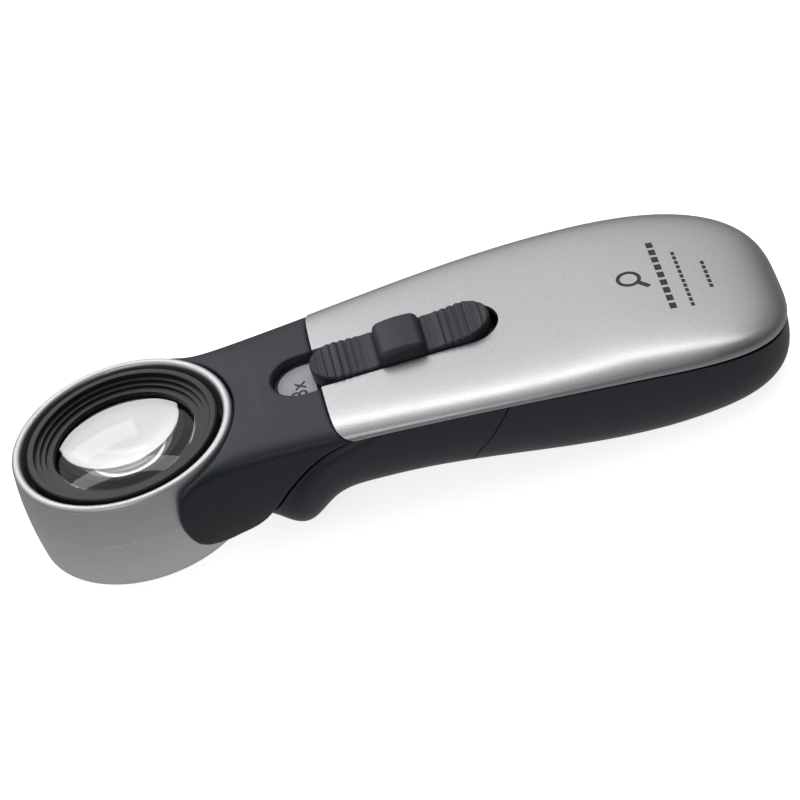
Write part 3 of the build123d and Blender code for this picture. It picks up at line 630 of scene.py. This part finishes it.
# ---------------------------------------------------------------- camera, light and floor
def add_camera():
    """A long lens that looks down on the object from the side, with the head at the lower left."""
    azimuth, elevation, roll = math.radians(-1.44), math.radians(37.81), math.radians(-18.46)
    target = Vector((-0.74, -1.01, 14.0)) * MM
    distance = 814.15 * MM
    look = Vector((math.sin(azimuth) * math.cos(elevation), math.cos(azimuth) * math.cos(elevation),
                   -math.sin(elevation)))
    data = bpy.data.cameras.new("camera")
    data.sensor_width = 36.0
    data.lens = 166.96
    data.clip_start = 0.01
    camera = bpy.data.objects.new("camera", data)
    scene.collection.objects.link(camera)
    camera.matrix_world = (Matrix.Translation(target - look * distance)
                           @ look.to_track_quat("-Z", "Y").to_matrix().to_4x4()
                           @ Matrix.Rotation(roll, 4, "Z"))
    scene.camera = camera


def add_area(name, position, aim, power, size, size_y=None, turn=0.0):
    """A rectangular soft light, turned about its own axis by some degrees."""
    data = bpy.data.lights.new(name, "AREA")
    data.energy = power
    data.shape = "RECTANGLE"
    data.size = size
    data.size_y = size_y or size
    light = bpy.data.objects.new(name, data)
    scene.collection.objects.link(light)
    light.location = position
    facing = (Vector(aim) - Vector(position)).to_track_quat("-Z", "Y")
    light.rotation_euler = (facing @ Quaternion((0, 0, 1), math.radians(turn))).to_euler()


def add_world():
    """Studio surroundings: bright behind and above, dark at the horizon and beyond the tail."""
    world = bpy.data.worlds.new("studio")
    scene.world = world
    world.use_nodes = True
    tree = world.node_tree
    background = tree.nodes["Background"]
    coords = tree.nodes.new("ShaderNodeTexCoord")
    split = tree.nodes.new("ShaderNodeSeparateXYZ")
    tree.links.new(coords.outputs["Generated"], split.inputs["Vector"])
    height = tree.nodes.new("ShaderNodeValToRGB")
    tree.links.new(ranged(tree, split.outputs["Z"], 0, 1, -1, 1), height.inputs["Fac"])
    tones = height.color_ramp
    tones.elements[0].position = 0.0
    tones.elements[0].color = (0.51, 0.52, 0.53, 1)
    tones.elements[1].position = 1.0
    tones.elements[1].color = (0.72, 0.73, 0.74, 1)
    # From straight below (0) to straight above (1): pale floor, dark horizon, bright sky.
    bands = [(0.13, 0.50), (0.25, 0.26), (0.41, 0.20), (0.55, 0.20), (0.66, 0.50), (0.76, 0.71), (0.9, 0.74)]
    for position, tone in bands:
        stop = tones.elements.new(position)
        stop.color = (tone * 0.985, tone, tone * 1.02, 1)
    # Above the horizon the tone also follows how far behind and how far beyond the tail a direction points.
    depth = ranged(tree, split.outputs["Y"], 0.42, 1.12, -0.6, 0.5)
    above = ranged(tree, split.outputs["Z"], 0, 1, -0.15, 0.15)
    beside = ranged(tree, split.outputs["X"], 1, 0.28, 0.50, 0.60)
    dimmed = node(tree, "ShaderNodeMath", operation="MULTIPLY")
    tree.links.new(depth, dimmed.inputs[0])
    tree.links.new(beside, dimmed.inputs[1])
    both = node(tree, "ShaderNodeMix", data_type="FLOAT")
    tree.links.new(above, both.inputs["Factor"])
    both.inputs["A"].default_value = 1.0
    tree.links.new(dimmed.outputs[0], both.inputs["B"])
    final = node(tree, "ShaderNodeVectorMath", operation="SCALE")
    tree.links.new(height.outputs["Color"], final.inputs[0])
    tree.links.new(both.outputs[0], final.inputs["Scale"])
    tree.links.new(final.outputs[0], background.inputs["Color"])
    background.inputs["Strength"].default_value = 1.0


def add_studio():
    """White floor and soft lights: a long strip overhead, a window behind and a weak fill in front."""
    add_world()
    add_area("strip", (0.15, 0.36, 0.80), (0.15, 0, 0), power=1.9, size=1.5, size_y=0.15, turn=-14)
    add_area("window", (-0.25, 0.80, 0.56), (-0.06, 0, 0.02), power=0.45, size=0.36, size_y=0.26)
    add_area("fill", (-0.35, -0.7, 0.45), (0, 0, 0.01), power=0.7, size=0.5)
    mesh = bpy.data.meshes.new("floor")
    size = 4.0
    mesh.from_pydata([(-size, -size, 0), (size, -size, 0), (size, size, 0), (-size, size, 0)], [],
                     [(0, 1, 2, 3)])
    floor = bpy.data.objects.new("floor", mesh)
    scene.collection.objects.link(floor)
    floor.location.z = -0.02 * MM
    material, _, shader = new_material("floor_white")
    shader.inputs["Base Color"].default_value = (0.9, 0.9, 0.9, 1)
    shader.inputs["Roughness"].default_value = 0.8
    shader.inputs["Emission Color"].default_value = (1, 1, 1, 1)
    shader.inputs["Emission Strength"].default_value = 0.8
    mesh.materials.append(material)
    floor.visible_glossy = False
    floor.visible_diffuse = False


# ---------------------------------------------------------------- materials
def new_material(name):
    """An empty node material with its Principled shader."""
    material = bpy.data.materials.new(name)
    material.use_nodes = True
    return material, material.node_tree, material.node_tree.nodes["Principled BSDF"]


def node(tree, kind, **values):
    """A node with its sockets or settings filled in."""
    made = tree.nodes.new(kind)
    for key, value in values.items():
        if key in made.inputs:
            made.inputs[key].default_value = value
        else:
            setattr(made, key, value)
    return made


def object_noise(tree, scale, detail=4.0, roughness=0.6):
    """Noise fixed to the object, with its size as cells per metre."""
    coords = tree.nodes.new("ShaderNodeTexCoord")
    noise = node(tree, "ShaderNodeTexNoise", Scale=scale, Detail=detail, Roughness=roughness)
    tree.links.new(coords.outputs["Object"], noise.inputs["Vector"])
    return noise.outputs["Fac"]


def ramp(tree, source, low, high, start=0.35, stop=0.65):
    """A colour between low and high that follows a value."""
    made = tree.nodes.new("ShaderNodeValToRGB")
    made.color_ramp.elements[0].position = start
    made.color_ramp.elements[0].color = (*low, 1)
    made.color_ramp.elements[1].position = stop
    made.color_ramp.elements[1].color = (*high, 1)
    tree.links.new(source, made.inputs["Fac"])
    return made.outputs["Color"]


def ranged(tree, source, low, high, start=0.0, stop=1.0):
    """A number between low and high that follows a value between start and stop."""
    made = node(tree, "ShaderNodeMapRange")
    made.inputs["From Min"].default_value = start
    made.inputs["From Max"].default_value = stop
    made.inputs["To Min"].default_value = low
    made.inputs["To Max"].default_value = high
    tree.links.new(source, made.inputs["Value"])
    return made.outputs["Result"]


def bump(tree, shader, source, depth, strength=1.0):
    """Relief of a given depth in metres."""
    made = node(tree, "ShaderNodeBump", Strength=strength, Distance=depth)
    tree.links.new(source, made.inputs["Height"])
    tree.links.new(made.outputs["Normal"], shader.inputs["Normal"])


def silver_paint(name, tone, grain=0.05, roughness=0.34, metallic=0.9):
    """Metallic paint: fine flakes in the colour and relief, and slow variation in the gloss."""
    material, tree, shader = new_material(name)
    shader.inputs["Metallic"].default_value = metallic
    flakes = object_noise(tree, 3600, 3.0, 0.7)
    low, high = [tuple(min(max(channel * (1 + side * grain), 0), 1) for channel in tone) for side in (-1, 1)]
    tree.links.new(ramp(tree, flakes, low, high), shader.inputs["Base Color"])
    slow = object_noise(tree, 60, 3.0)
    tree.links.new(ranged(tree, slow, roughness - 0.03, roughness + 0.03), shader.inputs["Roughness"])
    bump(tree, shader, flakes, 0.012 * MM, 0.35)
    return material


def moulded_plastic(name, tone, roughness=0.42, texture=2600, depth=0.02, spread=0.12, gloss=0.5):
    """Moulded plastic with a fine spark-eroded texture."""
    material, tree, shader = new_material(name)
    shader.inputs["Specular IOR Level"].default_value = gloss
    fine = object_noise(tree, texture, 4.0, 0.6)
    low, high = [tuple(channel * (1 + side * spread) for channel in tone) for side in (-1, 1)]
    tree.links.new(ramp(tree, fine, low, high), shader.inputs["Base Color"])
    slow = object_noise(tree, 90, 3.0)
    tree.links.new(ranged(tree, slow, roughness - 0.05, roughness + 0.05), shader.inputs["Roughness"])
    bump(tree, shader, fine, depth * MM, 0.5)
    return material


def clear_glass(name, tone, roughness=0.0, ior=1.49):
    """Clear optical plastic."""
    material, tree, shader = new_material(name)
    shader.inputs["Base Color"].default_value = (*tone, 1)
    shader.inputs["Transmission Weight"].default_value = 1.0
    shader.inputs["IOR"].default_value = ior
    wisp = object_noise(tree, 400, 2.0)
    tree.links.new(ranged(tree, wisp, roughness, roughness + 0.006), shader.inputs["Roughness"])
    return material


def bright_metal(name, tone, roughness=0.25):
    """Plated contact metal with light scratches."""
    material, tree, shader = new_material(name)
    shader.inputs["Metallic"].default_value = 1.0
    marks = object_noise(tree, 900, 6.0, 0.7)
    low, high = tuple(channel * 0.85 for channel in tone), tone
    tree.links.new(ramp(tree, marks, low, high), shader.inputs["Base Color"])
    tree.links.new(ranged(tree, marks, roughness, roughness + 0.15), shader.inputs["Roughness"])
    return material


materials = {
    "silver": silver_paint("silver_ring", (0.68, 0.68, 0.69), 0.05, 0.44),
    "silver_foot": silver_paint("silver_foot", (0.67, 0.67, 0.68), 0.05, 0.36),
    "silver_cover": silver_paint("silver_cover", (0.60, 0.60, 0.605), 0.10, 0.33),
    "grey_plastic": moulded_plastic("neck_plastic", (0.018, 0.023, 0.030), 0.46, 1500, 0.04, gloss=0.46),
    "grip_plastic": moulded_plastic("grip_plastic", (0.018, 0.023, 0.031), 0.42, 1500, 0.03),
    "black_plastic": moulded_plastic("black_plastic", (0.012, 0.013, 0.014), 0.4),
    "slider_plastic": moulded_plastic("slider_plastic", (0.017, 0.022, 0.028), 0.46, 1300, 0.07),
    "label_plastic": moulded_plastic("label_plastic", (0.46, 0.47, 0.49), 0.5),
    "ink": moulded_plastic("print_ink", (0.020, 0.021, 0.023), 0.5),
    "lens_glass": clear_glass("lens_glass", (0.72, 0.73, 0.74)),
    "clear_plastic": clear_glass("clear_plastic", (1, 1, 1), 0.25),
    "lamp_body": moulded_plastic("lamp_body", (0.85, 0.75, 0.3), 0.3),
    "board": moulded_plastic("board", (0.02, 0.12, 0.05), 0.3),
    "chip_plastic": moulded_plastic("chip_plastic", (0.012, 0.012, 0.012), 0.5),
    "coil_core": moulded_plastic("coil_core", (0.03, 0.03, 0.03), 0.5),
    "lead_insulation": moulded_plastic("lead_insulation", (0.35, 0.01, 0.01), 0.4),
    "contact_brass": bright_metal("contact_brass", (0.83, 0.6, 0.25)),
    "contact_steel": bright_metal("contact_steel", (0.75, 0.75, 0.76)),
    "steel": bright_metal("screw_steel", (0.5, 0.5, 0.51), 0.35),
    "cell_wrap": moulded_plastic("cell_wrap", (0.05, 0.055, 0.065), 0.25, 700, 0.005),
}
slot_of = {row["node"]: row["material_slot"] for row in frame["record"]["subparts"]}
for name, made in nodes.items():
    made.data.materials.clear()
    made.data.materials.append(materials[slot_of[name]])

top_cover()
grip_shell()
battery_cover()
neck_shell()
slider_button()
tail_print()
plate_number()
add_camera()
add_studio()
scene.view_settings.view_transform = "Standard"
